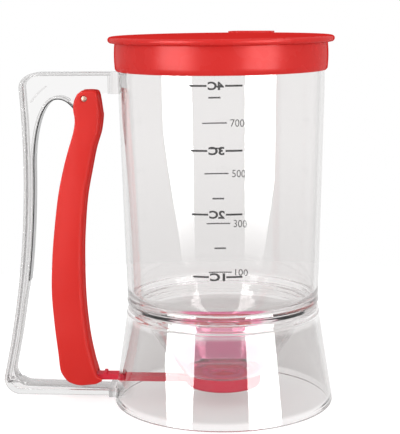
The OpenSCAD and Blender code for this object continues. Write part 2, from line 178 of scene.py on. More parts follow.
class Finish(Nodes):  # a material with one main shader, and the few nodes that each finish needs
    def __init__(self, name):
        self.material = bpy.data.materials.new(name)
        self.material.use_nodes = True
        super().__init__(self.material.node_tree)
        self.tree.nodes.clear()
        self.out = self.add("ShaderNodeOutputMaterial")
        self.shader = self.add("ShaderNodeBsdfPrincipled")
        self.join(self.shader, self.out, "Surface")

    def feed(self, key, source):
        self.link(source, self.shader.inputs[key])

    def setShader(self, **values):
        for key, value in values.items():
            self.shader.inputs[key].default_value = value

    def noise(self, scale, detail=2.0, stretch=(1, 1, 1)):
        coords = self.add("ShaderNodeTexCoord")
        place = self.add("ShaderNodeMapping", Scale=stretch)
        self.link(coords.outputs["Object"], place.inputs["Vector"])
        pattern = self.add("ShaderNodeTexNoise", Scale=scale, Detail=detail)
        self.join(place, pattern, "Vector")
        return pattern.outputs["Fac"]

    def mixed(self, factor, a, b):  # from a, a colour or another node's result, to the colour b
        node = self.add("ShaderNodeMix")
        node.data_type = "RGBA"
        node.inputs[7].default_value = (*b, 1)
        if isinstance(a, tuple):
            node.inputs[6].default_value = (*a, 1)
        else:
            self.link(a, node.inputs[6])
        self.link(factor, node.inputs[0])
        return node.outputs[2]

    def along(self, axis):  # how far along one axis a point lies, from the object's own zero
        coords, parts = self.add("ShaderNodeTexCoord"), self.add("ShaderNodeSeparateXYZ")
        self.link(coords.outputs["Object"], parts.inputs[0])
        return parts.outputs[axis]

    def height(self):
        return self.along(2)

    def bump(self, source, height):
        node = self.add("ShaderNodeBump", Distance=height, Strength=1.0)
        self.link(source, node.inputs["Height"])
        self.feed("Normal", node.outputs[0])


def plastic(name, look):  # moulded plastic with a slight mottle and a fine grain
    make = Finish(name)
    facing = make.add("ShaderNodeLayerWeight", Blend=0.5)
    make.feed("Specular IOR Level", make.spread(facing.outputs["Facing"], look["shine"],
                                                look["edgeShine"], *look["shineFrom"]))
    mottle = make.noise(look["mottleScale"], 3.0)
    make.feed("Base Color", make.mixed(make.spread(mottle, 0.0, 1.0), look["dark"], look["light"]))
    make.feed("Roughness", make.spread(make.noise(look["mottleScale"] * 4), *look["rough"]))
    make.bump(make.noise(look["grainScale"], 2.0), look["grain"] * mm)
    return make.material


def clearPlastic(name, look):  # clear plastic that is greyer where the way through it is longer, with painted shade where a wall is seen edge-on
    make = Finish(name)
    make.setShader(**{"Transmission Weight": 1.0, "IOR": look["ior"],
                      "Specular Tint": (*[look["gloss"]] * 3, 1)})
    # painted shade: a grey edge tone where a wall is seen edge-on
    facing = make.add("ShaderNodeLayerWeight", Blend=look["blend"])
    paintedEdgeShade = make.spread(facing.outputs["Facing"], 0.0, 1.0, look["edgeFrom"], look["edgeTo"])
    for zone in look["plainWall"]:  # only the plain walls get this painted edge shade
        paintedEdgeShade = make.maths("MULTIPLY", paintedEdgeShade, make.spread(make.height(), 0.0, 1.0, *zone))
    # painted shade: darker towards the bottom
    tone = make.mixed(make.spread(make.height(), 1.0, 0.0, *look["lowFrom"]), look["tint"],
                      look["lowShadeTint"])
    for lowFrom, lowTo, highFrom, highTo in look["paintedLightBands"]:  # painted light: a lighter tint where many walls lie close
        height = make.height()
        band = make.maths("MULTIPLY", make.spread(height, 0.0, 1.0, lowFrom, lowTo),
                          make.spread(height, 1.0, 0.0, highFrom, highTo))
        tone = make.mixed(band, tone, look["paintedLightTint"])
    if "flange" in look:  # the flanges are deep in the line of sight, and so greyer than the web
        side, start = make.maths("ABSOLUTE", make.along(1)), look["flangeFrom"] * mm
        flange = make.spread(side, 0.0, 1.0, start, start + look["flangeBlur"] * mm)
        deep = make.maths("MULTIPLY", flange,
                          make.spread(make.height(), 0.0, 1.0, *look["flangeLow"]))
        tone = make.mixed(deep, tone, look["flange"])
    if "stub" in look:  # the short socket that the frame is joined to
        start = look["stubFrom"] * mm
        tone = make.mixed(make.spread(make.along(0), 1.0, 0.0, start - look["stubBlur"] * mm,
                                      start), tone, look["stub"])
    # mixes in the painted edge shade
    tone = make.mixed(paintedEdgeShade, tone, look["edge"])
    if "paintedCapRed" in look:  # painted reflection: the red of the cap, as seen in the narrow end of the funnel
        paintedCapRed = make.maths("MULTIPLY", make.spread(make.height(), 1.0, 0.0, *look["paintedCapRedFrom"]),
                           make.spread(make.height(), look["paintedCapRedLow"], 1.0,
                                       *look["paintedCapRedLowFrom"]))
        tone = make.mixed(paintedCapRed, tone, look["paintedCapRed"])
    make.feed("Base Color", tone)
    make.feed("Roughness", make.spread(make.noise(look["smearScale"]), *look["rough"]))
    make.bump(make.noise(look["waveScale"], 1.0, look["waveStretch"]), look["wave"] * mm)
    inside = make.add("ShaderNodeVolumeAbsorption", Color=(*look["inside"], 1),
                      Density=look["dense"])
    make.join(inside, make.out, "Volume")
    path = make.add("ShaderNodeLightPath").outputs
    through = make.add("ShaderNodeBsdfTransparent", Color=(*look["shade"], 1))
    mix = make.add("ShaderNodeMixShader")
    make.link(make.maths("MAXIMUM", path["Is Shadow Ray"], path["Is Diffuse Ray"]), mix.inputs[0])
    make.join(make.shader, mix, 1)
    make.join(through, mix, 2)
    make.join(mix, make.out, "Surface")
    return make.material


def steel(name, look):  # drawn or rolled steel, its grain along one direction
    make = Finish(name)
    make.setShader(Metallic=1.0)
    grain = make.noise(look["grainScale"], 3.0, look["along"])
    tone = make.mixed(make.spread(grain, 0.0, 1.0), look["dark"], look["light"])
    if "cutEdge" in look:  # the strip's cut edges are darker than its faces
        side, edge = make.maths("ABSOLUTE", make.along(1)), look["cutEdge"] * mm
        tone = make.mixed(make.spread(side, 0.0, 1.0, edge - look["cutBlur"] * mm, edge), tone,
                          look["cutTone"])
    make.feed("Base Color", tone)
    make.feed("Roughness", make.spread(grain, *look["rough"]))
    make.bump(grain, look["grain"] * mm)
    return make.material


# heights in m, and every other length in mm
# the low tint is painted shade, darker towards the bottom
jugLook = {"tint": (0.92, 0.91, 0.907), "lowShadeTint": (0.85, 0.84, 0.837), "lowFrom": (0.055, 0.13),
           # edge is the painted shade of walls seen edge-on
           "edge": (0.34, 0.33, 0.33), "edgeFrom": 0.62, "edgeTo": 1.0, "gloss": 1.0,
           "stub": (0.85, 0.84, 0.837), "stubFrom": -53.0, "stubBlur": 0.4,
           "plainWall": ((0.056, 0.066),), "blend": 0.5, "ior": 1.49, "smearScale": 60,
           "rough": (0.0, 0.03), "waveScale": 30, "waveStretch": (1, 1, 0.4), "wave": 0.02,
           "shade": (0.97, 0.97, 0.97), "inside": (0.55, 0.5, 0.49), "dense": 8,
           # the pink is painted reflection of the red cap
           "paintedCapRed": (0.92, 0.18, 0.4), "paintedCapRedLow": 0.5, "paintedCapRedLowFrom": (0.015, 0.017),
           # the lighter bands are painted light where many walls lie close
           "paintedCapRedFrom": (0.0225, 0.0265), "paintedLightTint": (0.975, 0.972, 0.971),
           "paintedLightBands": ((0.0425, 0.0435, 0.0545, 0.0565),)}
# the skirt's darker tint is painted shade of the space under it
skirtLook = {**jugLook, "tint": (0.75, 0.737, 0.733), "lowShadeTint": (0.72, 0.707, 0.703),
             "lowFrom": (0.0, 0.03), "edge": (0.5, 0.49, 0.49), "stub": (0.5, 0.49, 0.49),
             "stubFrom": -56.9, "plainWall": ((0.047, 0.041), (0.002, 0.005)),
             "paintedLightBands": (*jugLook["paintedLightBands"], (-0.002, -0.001, 0.003, 0.0045))}
del skirtLook["paintedCapRed"]
handleLook = {**skirtLook, "tint": (0.955, 0.95, 0.948), "lowShadeTint": (0.955, 0.95, 0.948),
              "edge": (0.33, 0.32, 0.32), "edgeFrom": 0.12, "edgeTo": 0.5, "plainWall": (),
              "paintedLightBands": (), "waveScale": 60, "wave": 0.004, "inside": (0.05, 0.04, 0.04),
              "dense": 10, "flange": (0.85, 0.84, 0.837), "flangeFrom": 1.6,
              "flangeBlur": 0.1, "flangeLow": (0.0075, 0.0095), "gloss": 0.0, "rough": (0.07, 0.11)}
del handleLook["stub"]
redLook = {"dark": (0.67, 0.024, 0.019), "light": (0.7, 0.028, 0.022), "mottleScale": 25,
           "rough": (0.36, 0.46), "grainScale": 1500, "grain": 0.006, "shine": 0.08,
           "edgeShine": 0.0, "shineFrom": (0.35, 0.85)}
lidLook = {**redLook, "dark": (0.64, 0.024, 0.021), "light": (0.67, 0.029, 0.025),
           "rough": (0.24, 0.3), "grain": 0.008, "shine": 0.1}
gateLook = {**redLook, "dark": (0.7, 0.028, 0.055), "light": (0.74, 0.034, 0.065)}
capLook = {**redLook, "dark": (0.86, 0.004, 0.05), "light": (0.9, 0.006, 0.058)}
sealLook = {**redLook, "dark": (0.78, 0.77, 0.74), "light": (0.84, 0.83, 0.8), "mottleScale": 80,
            "rough": (0.5, 0.6), "grainScale": 2500, "grain": 0.01, "shine": 0.4, "edgeShine": 0.4}
printLook = {**redLook, "dark": (0.02, 0.02, 0.02), "light": (0.035, 0.033, 0.033),
             "mottleScale": 300, "rough": (0.5, 0.65), "grainScale": 3000, "grain": 0.003,
             "shine": 0.2, "edgeShine": 0.1}
springLook = {"dark": (0.33, 0.33, 0.33), "light": (0.45, 0.45, 0.45), "along": (1, 6, 0.15),
              "grainScale": 900, "rough": (0.28, 0.4), "grain": 0.004, "cutEdge": 3.38,
              "cutBlur": 0.02, "cutTone": (0.02, 0.02, 0.02)}
pinLook = {"dark": (0.16, 0.1, 0.08), "light": (0.24, 0.16, 0.13), "along": (1, 0.1, 1),
           "grainScale": 1500, "rough": (0.4, 0.5), "grain": 0.003}

nodeFinish = {
    "lid": plastic("softRed", lidLook),
    "hopper": clearPlastic("clearJug", jugLook),
    "base_skirt": clearPlastic("clearSkirt", skirtLook),
    "handle_frame": clearPlastic("clearHandle", handleLook),
    "outlet_cap": plastic("capRed", capLook),
    "gate_slide": plastic("gateRed", gateLook),
    "gate_seal": plastic("milkySeal", sealLook),
    "trigger_lever": plastic("leverRed", redLook),
    "pivot_pin": steel("brightSteel", pinLook),
    "leaf_spring": steel("springSteel", springLook),
}
for nodeName, material in nodeFinish.items():
    paint(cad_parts[nodeName].data, material)
printBlack = plastic("printBlack", printLook)
print("materials made:", len(bpy.data.materials))

jug = {"waist": 48.5, "waistZ": 50.05, "rim": 51.4, "landZ": 161.6, "top": 183.6, "wall": 2.0,
       "bead": 0.3, "beadZ": (52.0, 54.5), "spigotOut": 46.2, "spigotIn": 44.3, "spigotZ": 45,
       "funnelTop": (44.3, 50), "funnelLow": (20.9, 15.0), "bow": 1.0, "neck": 17.8,
       "under": 12.5, "floorZ": 14.6, "hole": 7.0, "groove": (8.3, 11.1), "grooveZ": 13.68,
       "padOut": 54.5, "padHalf": 7.0, "padZ": (157.6, 168.3), "padLap": 0.6, "sides": 160,
       "taperZ": 50, "bowSteps": 10, "sharp": 32,
       "round": {"hole": 0.5, "funnelFoot": 3.0, "shoulder": 9.0, "rim": 0.6, "waist": 0.3,
                 "spigot": 0.4, "neckTop": 0.4, "neck": 0.3}}
skirt = {"base": 56.2, "waist": 48.5, "high": 50, "wall": 2.2, "foot": 53.5, "footZ": 2,
         "bead": 0.3, "beadZ": (45.5, 48.0), "topOut": 48.2, "topZ": 49.95, "topIn": 46.3,
         "seatZ": 44.5, "padOut": 59.1, "padHalf": 7.0, "padZ": (0.8, 5.9), "padLap": 1.0,
         "slotHalf": 4.3, "slotX": (-70, -40), "slotZ": (8.4, 12.8), "waistZ": 49.4, "rise": 1,
         "round": {"foot": 0.3, "base": 0.7, "waist": 0.3, "seat": 1.5}}


def turned(name, profile, sides):  # a closed outline in radius and height, turned round the axis
    shape = bmesh.new()
    rows = []
    for i in range(sides):
        a = math.tau * (i + 0.5) / sides
        rows.append([shape.verts.new((r * math.cos(a) * mm, r * math.sin(a) * mm, z * mm))
                     for r, z in profile])
    count = len(profile)
    for i in range(sides):
        a, b = rows[i], rows[(i + 1) % sides]
        for k in range(count):
            m = (k + 1) % count
            shape.faces.new((a[k], b[k], b[m], a[m]))
    bmesh.ops.recalc_face_normals(shape, faces=shape.faces)
    return addObject(name, saved(shape, bpy.data.meshes.new(name)))


def rounded(profile, corners, most=0.48, turnStep=9):  # rounds corners: their index and radius
    line = []
    count = len(profile)
    for i, point in enumerate(profile):
        if i not in corners:
            line.append(point)
            continue
        p = Vector(point)
        before, after = Vector(profile[i - 1]) - p, Vector(profile[(i + 1) % count]) - p
        turn = before.angle(after)
        reach = min(corners[i] / math.tan(turn / 2), before.length * most, after.length * most)
        a, b = p + before.normalized() * reach, p + after.normalized() * reach
        steps = max(3, int(math.degrees(math.pi - turn) / turnStep))
        for t in (k / steps for k in range(steps + 1)):
            line.append(tuple(a * (1 - t) ** 2 + p * 2 * t * (1 - t) + b * t * t))
    return line


def supported(profile, reach=0.5, longest=3.0):  # extra points keep long walls evenly shaded
    line = []
    for i, point in enumerate(profile):
        line.append(point)
        a, b = Vector(point), Vector(profile[(i + 1) % len(profile)])
        length = (b - a).length
        if length > longest:
            shares = (reach / length, 0.5, 1 - reach / length)
            line += [tuple(a.lerp(b, share)) for share in shares]
    return line


def jugOut(z):
    share = min(1.0, (z - jug["taperZ"]) / (jug["landZ"] - jug["taperZ"]))
    return jug["waist"] + (jug["rim"] - jug["waist"]) * share


def skirtOut(z):
    return skirt["base"] + (skirt["waist"] - skirt["base"]) * z / skirt["high"]


def ridge(wall, low, high, height, steps=10):  # a low round bead on a wall
    return [(wall(z) + height * (0.5 - 0.5 * math.cos(math.tau * k / steps)), z)
            for k in range(steps + 1) for z in (low + (high - low) * k / steps,)]


def box(name, low, high):
    shape = bmesh.new()
    bmesh.ops.create_cube(shape, size=1)
    for v in shape.verts:
        v.co = [(low[i] + (high[i] - low[i]) * (v.co[i] + 0.5)) * mm for i in range(3)]
    return addObject(name, saved(shape, bpy.data.meshes.new(name)))


def jugPiece():
    top, low = Vector(jug["funnelTop"]), Vector(jug["funnelLow"])
    way = (top - low).normalized()
    inwards = Vector((-way.y, way.x)) * jug["wall"]
    out = Vector((way.y, -way.x)) * 4 * jug["bow"]
    side = [low + (top - low) * t + out * t * (1 - t)
            for t in (k / jug["bowSteps"] for k in range(jug["bowSteps"] + 1))]
    rim, wall, start = jug["rim"], jug["wall"], top + inwards
    meet = start + way * (jug["waist"] - wall - start.x) / way.x
    profile = [(jug["hole"], jug["under"]), (jug["hole"], jug["floorZ"])]
    profile += [tuple(p + inwards) for p in side]
    shoulder = len(profile)
    profile += [tuple(meet), (rim - wall, jug["landZ"]), (rim - wall, jug["top"]),
                (rim, jug["top"]), (rim, jug["landZ"])]
    profile += reversed(ridge(jugOut, *jug["beadZ"], jug["bead"]))
    corner = len(profile)
    profile += [(jug["waist"], jug["waistZ"]), (jug["spigotOut"], jug["waistZ"]),
                (jug["spigotOut"], jug["spigotZ"]), (jug["spigotIn"], jug["spigotZ"])]
    profile += [tuple(p) for p in reversed(side)]
    neck = len(profile)
    profile += [(jug["neck"], jug["funnelLow"][1]), (jug["neck"], jug["under"]),
                (jug["groove"][1], jug["under"]), (jug["groove"][1], jug["grooveZ"]),
                (jug["groove"][0], jug["grooveZ"]), (jug["groove"][0], jug["under"])]
    soft = jug["round"]
    corners = {1: soft["hole"], 2: soft["funnelFoot"], shoulder: soft["shoulder"],
               shoulder + 2: soft["rim"], shoulder + 3: soft["rim"], corner: soft["waist"],
               corner + 2: soft["spigot"], corner + 3: soft["spigot"],
               neck - 1: soft["neckTop"], neck + 1: soft["neck"]}
    piece = turned("clearJug", supported(rounded(profile, corners)), jug["sides"])
    pad = box("pad", (-jug["padOut"], -jug["padHalf"], jug["padZ"][0]),
              (jug["padLap"] - rim, jug["padHalf"], jug["padZ"][1]))
    return cutWith(piece, pad, "UNION")


def skirtPiece():
    profile, foot = [(skirt["foot"], 0), (skirt["base"], 0)], skirt["footZ"] + skirt["rise"]
    profile += ridge(skirtOut, *skirt["beadZ"], skirt["bead"])
    corner = len(profile)
    profile += [(skirt["waist"], skirt["waistZ"]), (skirt["topOut"], skirt["topZ"]),
                (skirt["topIn"], skirt["topZ"]), (skirt["topIn"], skirt["seatZ"]),
                (skirtOut(foot) - skirt["wall"], foot), (skirt["foot"], skirt["footZ"])]
    soft = skirt["round"]
    corners = {0: soft["foot"], 1: soft["base"], corner: soft["waist"], corner + 3: soft["seat"]}
    piece = turned("clearSkirt", supported(rounded(profile, corners)), jug["sides"])
    pad = box("pad", (-skirt["padOut"], -skirt["padHalf"], skirt["padZ"][0]),
              (skirt["padLap"] - skirtOut(skirt["padZ"][1]), skirt["padHalf"], skirt["padZ"][1]))
    piece = cutWith(piece, pad, "UNION")
    slot = box("slot", (skirt["slotX"][0], -skirt["slotHalf"], skirt["slotZ"][0]),
               (skirt["slotX"][1], skirt["slotHalf"], skirt["slotZ"][1]))
    return cutWith(piece, slot)


handle = {
    "jugEnd": -54.55, "skirtEnd": -59.15, "low": 1.5, "top": 168.3, "topLow": 157.6, "half": 6.5,
    "pivot": (-68.4, 155.2), "bore": 1.55,      # the lever's pin, x and z
    "flange": 1.6, "flangeSoft": 0.75, "footCorner": 8.5, "topCorner": (10, 7.5),
    "footTurn": (270, 184), "topTurn": (168, 90), "innerTurn": (266, 184),  # degrees of the arcs
    "gripX": 100, "kick": 16.4, "kickZ": 127,   # the grip leans outwards below this height
    "depth": 4.5, "thin": 0.5, "thinFrom": 60.5, "fade": 8,
    "archX": 82, "archZ": 118.2, "rise": 37.1, "right": 16.4, "archPower": 0.9,
    "archEnd": 62, "archEndSteps": 9,           # where the opening meets the pivot's tongue
    "webHalf": 1.5, "webInset": 0.5, "webOver": 0.4, "tongue": 4.6, "tongueTo": -64,
    "tongueRise": 2, "past": 9,
    "barUp": 5.2, "barTo": 8.4, "barInset": 0.3, "barLap": 0.05, "barSoft": 0.4,
    "innerCorner": 8, "innerRise": 1.2, "innerFlange": 1.2, "innerHalf": 4.5, "innerSoft": 0.5,
    "innerFrom": 7.2, "innerEnd": -76,
    "rib": ((5.5, 15), (13.5, 7.2)), "ribThick": 0.8, "ribHalf": 2.3, "ribBow": 0.6, "ribSteps": 6,
    "endPlate": 1.6, "endGap": 0.1, "plateInset": 0.5, "plateLow": 0.05,
    "apart": 0.02, "steps": 90, "cornerSteps": 14, "topSteps": 12, "archSteps": 30, "sharp": 30,
}


def gripFace(z, inset=0):
    return inset - (handle["gripX"] + handle["kick"] * (1 - z / handle["kickZ"]) ** 2)


def legX(z, out):  # the opening's edge along the grip
    thinner = handle["thin"] * min(1, max(0, (handle["thinFrom"] - z) / handle["fade"]))
    return gripFace(z) + handle["depth"] - out - thinner


def arc(middle, wide, high, first, last, steps):
    return [(middle[0] + wide * math.cos(a), middle[1] + high * math.sin(a))
            for a in (math.radians(first + (last - first) * k / steps) for k in range(steps + 1))]


def upLine(xAt, inset, low, top, steps, start=1):
    return [(xAt(z, inset), z)
            for z in (low + (top - low) * i / steps for i in range(start, start + steps))]


def frameEdge(inset):  # the frame's outline from the skirt round to the jug
    corner, (wide, high) = handle["footCorner"], handle["topCorner"]
    low, top = handle["low"] + corner, handle["top"] - high
    line = [(handle["skirtEnd"], handle["low"] + inset)]
    line += arc((gripFace(low) + corner, low), corner - inset, corner - inset,
                *handle["footTurn"], handle["cornerSteps"])
    line += upLine(gripFace, inset, low, top, handle["steps"])
    line += arc((gripFace(top) + wide, top), wide - inset, high - inset,
                *handle["topTurn"], handle["topSteps"])
    return line + [(handle["jugEnd"], handle["top"] - inset)]


def archLine(out, start, steps, lastAngle, lastSteps):  # over the opening, from the grip's edge
    middle, rise = (-handle["archX"], handle["archZ"]), handle["rise"] + out
    left = middle[0] - legX(middle[1], out)
    line = []
    for k in range(start, steps):
        a = math.radians(90 * k / steps)
        line.append((middle[0] - left * math.cos(a) ** handle["archPower"],
                     middle[1] + rise * math.sin(a)))
    return line + arc(middle, handle["right"] + out, rise, 90, lastAngle, lastSteps)


def openingEdge(inset):  # the opening's outline from the skirt up to the lever's pivot
    corner = handle["innerCorner"]
    low = handle["barUp"] + handle["innerRise"] + corner
    line = [(handle["skirtEnd"], handle["barUp"] - inset)]
    line += arc((legX(low, 0) + corner, low), corner + inset, corner + inset,
                *handle["innerTurn"], handle["cornerSteps"])
    line += upLine(legX, inset, low, handle["archZ"], handle["steps"])
    return line + archLine(inset, 1, handle["archSteps"], handle["archEnd"],
                           handle["archEndSteps"])


def softSolid(name, outlineAt, half, radii, turns):  # a plate with rims rounded by a radius a point
    rings = []
    for side, steps in ((-1, range(turns, -1, -1)), (1, range(turns + 1))):
        for k in steps:
            a = math.pi / 2 * k / turns
            rings.append([(x * mm, side * (half - radius * (1 - math.sin(a))) * mm, z * mm)
                          for (x, z), radius in zip(outlineAt(1 - math.cos(a)), radii)])
    return bridged(name, rings)


def softPlate(name, outlineAt, half, soft):
    return softSolid(name, lambda share: outlineAt(soft * share), half, repeat(soft), 4)


def framePiece():  # the clear frame, built from the same lines as the solid part
    def outer(inset):
        return frameEdge(inset) + frameEdge(handle["flange"] - inset)[::-1]

    def bar(inset):
        def lowPart(edge, start):  # as far as the bar goes up the grip
            corner = edge(start)[:handle["cornerSteps"] + 2]
            return edge(start + inset)[:sum(z < handle["barTo"] for x, z in corner)]
        return (lowPart(frameEdge, handle["barInset"])
                + lowPart(openingEdge, handle["barLap"])[::-1])

    def inner(inset):
        chosen = [i for i, (x, z) in enumerate(openingEdge(0))
                  if z > handle["innerFrom"] and x < handle["innerEnd"]]
        near, far = openingEdge(inset), openingEdge(handle["innerFlange"] - inset)
        return [near[i] for i in chosen] + [far[i] for i in chosen[::-1]]

    gap, top, topLow = handle["endGap"], handle["top"], handle["topLow"]
    end = handle["jugEnd"] - gap
    pivot, tongue = Vector(handle["pivot"]), handle["tongue"]
    web = frameEdge(handle["webInset"])[:-1] + [
        (end, top - handle["webInset"]), (end, topLow), (handle["tongueTo"], topLow),
        (handle["tongueTo"], pivot.y - tongue + handle["tongueRise"]),
        (pivot.x, pivot.y - tongue)] + openingEdge(handle["webOver"])[::-1]
    piece = softPlate("clearHandle", outer, handle["half"], handle["flangeSoft"])
    a, b = (Vector((gripFace(top) + x, top - down)) for x, down in handle["rib"])
    across = (b - a).orthogonal().normalized()
    bow, thick = across * handle["ribBow"], across * handle["ribThick"] / 2
    count = handle["ribSteps"]
    rib = [a.lerp(b, t / count) + bow * math.sin(math.pi * t / count) for t in range(count + 1)]
    rib = [tuple(p + thick) for p in rib] + [tuple(p - thick) for p in rib[::-1]]
    plateEnd, plateLow = end - handle["endPlate"], topLow + handle["plateLow"]
    plate = [(end, plateLow), (end, top - gap), (plateEnd, top - gap), (plateEnd, plateLow)]
    tongueHalf = handle["webHalf"] - handle["apart"]
    for more in (softPlate("bar", bar, handle["half"] - handle["apart"], handle["barSoft"]),
                 slab("web", web, handle["webHalf"]),
                 rod("tongue", pivot.x, pivot.y, tongue, -tongueHalf, tongueHalf),
                 softPlate("inner", inner, handle["innerHalf"], handle["innerSoft"]),
                 slab("rib", rib, handle["ribHalf"]),
                 slab("endPlate", plate, handle["half"] - handle["plateInset"])):
        piece = cutWith(piece, more, "UNION")
    piece = cutWith(piece, rod("bore", pivot.x, pivot.y, handle["bore"], -handle["past"],
                               handle["past"]))
    smoothShade(piece.data, handle["sharp"])
    return piece


def evenShade(piece, degrees):  # smooth shading that leaves large flat faces flat
    smoothShade(piece.data, degrees)
    even = piece.modifiers.new("even", "WEIGHTED_NORMAL")
    even.keep_sharp, even.weight = True, 100
    return settle(piece)


def packedCopy(name, node, merge):
    piece = addObject(name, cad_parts[node].data.copy(), nodeFinish[node])
    tidyMesh(piece.data, merge)
    return piece


for build, node in ((jugPiece, "hopper"), (skirtPiece, "base_skirt"),
                    (framePiece, "handle_frame")):
    piece = build()
    if node != "handle_frame":
        smoothShade(piece.data, jug["sharp"])
    paint(piece.data, nodeFinish[node])
    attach(piece, "jug")
    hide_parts(node)
    print("clear piece built:", piece.name, len(piece.data.polygons), "faces")


cap = {"merge": 1e-6, "near": 0.01, "drop": 0.07, "sharp": 32}  # merge in m, near and drop in mm
piece = packedCopy("outletCap", "outlet_cap", cap["merge"])
for v in piece.data.vertices:  # its seat lies a hair lower, and so apart from the clear neck
    if abs(v.co.z - jug["under"] * mm) < cap["near"] * mm:
        v.co.z -= cap["drop"] * mm
piece = evenShade(piece, cap["sharp"])
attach(piece, "jug")
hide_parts("outlet_cap")

lid = {"merge": 2e-5, "flat": 0.4, "turn": -3.9, "sharp": 32}  # turned on the rim, its tab as seen
piece = packedCopy("pressLid", "lid", lid["merge"])
shape = opened(piece.data)
bmesh.ops.dissolve_limit(shape, angle_limit=math.radians(lid["flat"]), verts=shape.verts,
                         edges=shape.edges)  # flat faces in one piece shade evenly
saved(shape, piece.data).transform(Matrix.Rotation(math.radians(lid["turn"]), 4, "Z"))
piece = evenShade(piece, lid["sharp"])
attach(piece, "cover")
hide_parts("lid")
print("cap and lid dressed")

lever = {
    "halfWidth": 6.25, "cheekIn": 4.25, "wall": 2.2,
    "frontRound": 3.0, "headRound": 1.3, "toeRound": 0.4, "backRound": 0.55, "turns": 7,
    "frontSteps": 8, "backSteps": 6, "evenOver": 3, "sharp": 40,
    "growFrom": -1, "growOver": 9, "shrinkTo": 143.6, "shrinkOver": 10,  # below the pivot
    "wallTop": 157.2, "wallLow": 13.4,
    "ribs": (43.1, 64.6, 86.2, 107.7), "ribHalf": 0.7, "ribReach": -9,
    "bar": (-71.3, 11.6), "barRound": 1.5,
    "bush": 4.0, "bushFrom": 1.75, "bore": 1.52, "recess": 1.9, "recessDepth": 0.75,
    "past": {"left": -120, "right": -50, "top": 170, "cheek": 5, "rib": 30},  # clear of the lever
    # towards the jug from the pivot, and below it
    "front": [(-1, -4.1), (3.2, -4.2), (6.4, -3.5), (7.3, 0), (8.4, 6.7), (8.6, 9.4), (7.5, 16.8),
              (4.8, 25.3), (2.5, 35.6), (-0.4, 50.1), (-2, 65.6), (-2.8, 80.8), (-2.7, 102.5),
              (-1.2, 120.8), (1.1, 134.3), (2.6, 140.9), (3.1, 143.6)],
    "toe": [(4.7, 144.5), (5.9, 145.4), (5.4, 146.4)],
    "back": [(2.5, 147.8), (-5.7, 148.6), (-10.4, 147.4), (-12.6, 146), (-15.1, 142.5),
             (-16.1, 139), (-16.7, 132.1), (-18.2, 117), (-19.2, 100.5), (-18.8, 87.3),
             (-17.5, 71.8), (-14.6, 50), (-11.3, 35), (-8.6, 25.6), (-5.8, 16.7), (-4.9, 10.8),
             (-5.5, 5.5), (-5.1, 1.4), (-3.4, -2.3)],
}


def leverPlace(point):
    return Vector((handle["pivot"][0] + point[0], handle["pivot"][1] - point[1]))


def frontRadius(drop):  # the front's rounding grows below the head, and ends at the toe
    head = min(1.0, max(0.0, (drop - lever["growFrom"]) / lever["growOver"]))
    foot = min(1.0, max(0.0, (lever["shrinkTo"] - drop) / lever["shrinkOver"]))
    grown = min(head * head * (3 - 2 * head), foot)
    return lever["headRound"] + (lever["frontRound"] - lever["headRound"]) * grown


def leverBody():
    front = smoothLine(lever["front"], lever["frontSteps"])
    back = smoothLine(lever["back"], lever["backSteps"])
    points = ([(p, frontRadius(p[1])) for p in front] + [(p, lever["toeRound"])
              for p in lever["toe"]] + [(p, lever["backRound"]) for p in back])
    count, over = len(points), lever["evenOver"]
    outline, rounding, inwards = [leverPlace(p) for p, radius in points], [], []
    for i in range(count):
        near = [points[(i + k) % count][1] for k in range(-over, over + 1)]
        rounding.append(sum(near) / len(near))  # evens out the change from one radius to the next
        way = outline[(i + 1) % count] - outline[i - 1]
        inwards.append(Vector((way.y, -way.x)).normalized())
    if sum(a.x * b.y - b.x * a.y for a, b in zip(outline, outline[1:] + outline[:1])) > 0:
        inwards = [-way for way in inwards]

    def outlineAt(share):
        return [point + way * radius * share
                for point, way, radius in zip(outline, inwards, rounding)]
    return softSolid("triggerLever", outlineAt, lever["halfWidth"], rounding, lever["turns"])


def leverChannel():
    past, low, top = lever["past"], lever["wallLow"], lever["wallTop"]
    inner = [leverPlace(p) - Vector((lever["wall"], 0))
             for p in smoothLine(lever["front"], lever["frontSteps"])]
    inner = [(p.x, p.y) for p in inner if low < p.y < top]
    outline = ([(past["left"], past["top"]), (past["right"], past["top"]), (past["right"], top),
                (inner[0][0], top)] + inner
               + [(inner[-1][0], low), (past["right"], low), (past["right"], 0), (past["left"], 0)])
    channel = slab("channel", outline, lever["cheekIn"])
    for drop in lever["ribs"]:
        a, half = leverPlace((lever["ribReach"], drop)), lever["ribHalf"]
        end = a.x + past["rib"]
        rib = [(a.x, a.y - half), (end, a.y - half), (end, a.y + half), (a.x, a.y + half)]
        channel = cutWith(channel, slab("rib", rib, past["cheek"]))
    channel = cutWith(channel, rod("bar", *lever["bar"], lever["barRound"], -past["cheek"],
                                   past["cheek"]))
    for side in (-1, 1):
        ends = sorted((side * lever["bushFrom"], side * past["cheek"]))
        channel = cutWith(channel, rod("bush", *handle["pivot"], lever["bush"], *ends))
    return channel


body = cutWith(leverBody(), leverChannel())
body = cutWith(body, rod("bore", *handle["pivot"], lever["bore"], -handle["past"],
                         handle["past"]))
for side in (-1, 1):
    ends = sorted((side * (lever["halfWidth"] - lever["recessDepth"]), side * handle["past"]))
    body = cutWith(body, rod("recess", *handle["pivot"], lever["recess"], *ends))
smoothShade(body.data, lever["sharp"])
paint(body.data, nodeFinish["trigger_lever"])
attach(body, "lever")
body.visible_glossy = False
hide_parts("trigger_lever")
print("lever built:", len(body.data.polygons), "faces")

pin = {"radius": 1.5, "half": 5.5, "dome": 0.45, "domeSteps": 7, "sides": 40, "sharp": 40}


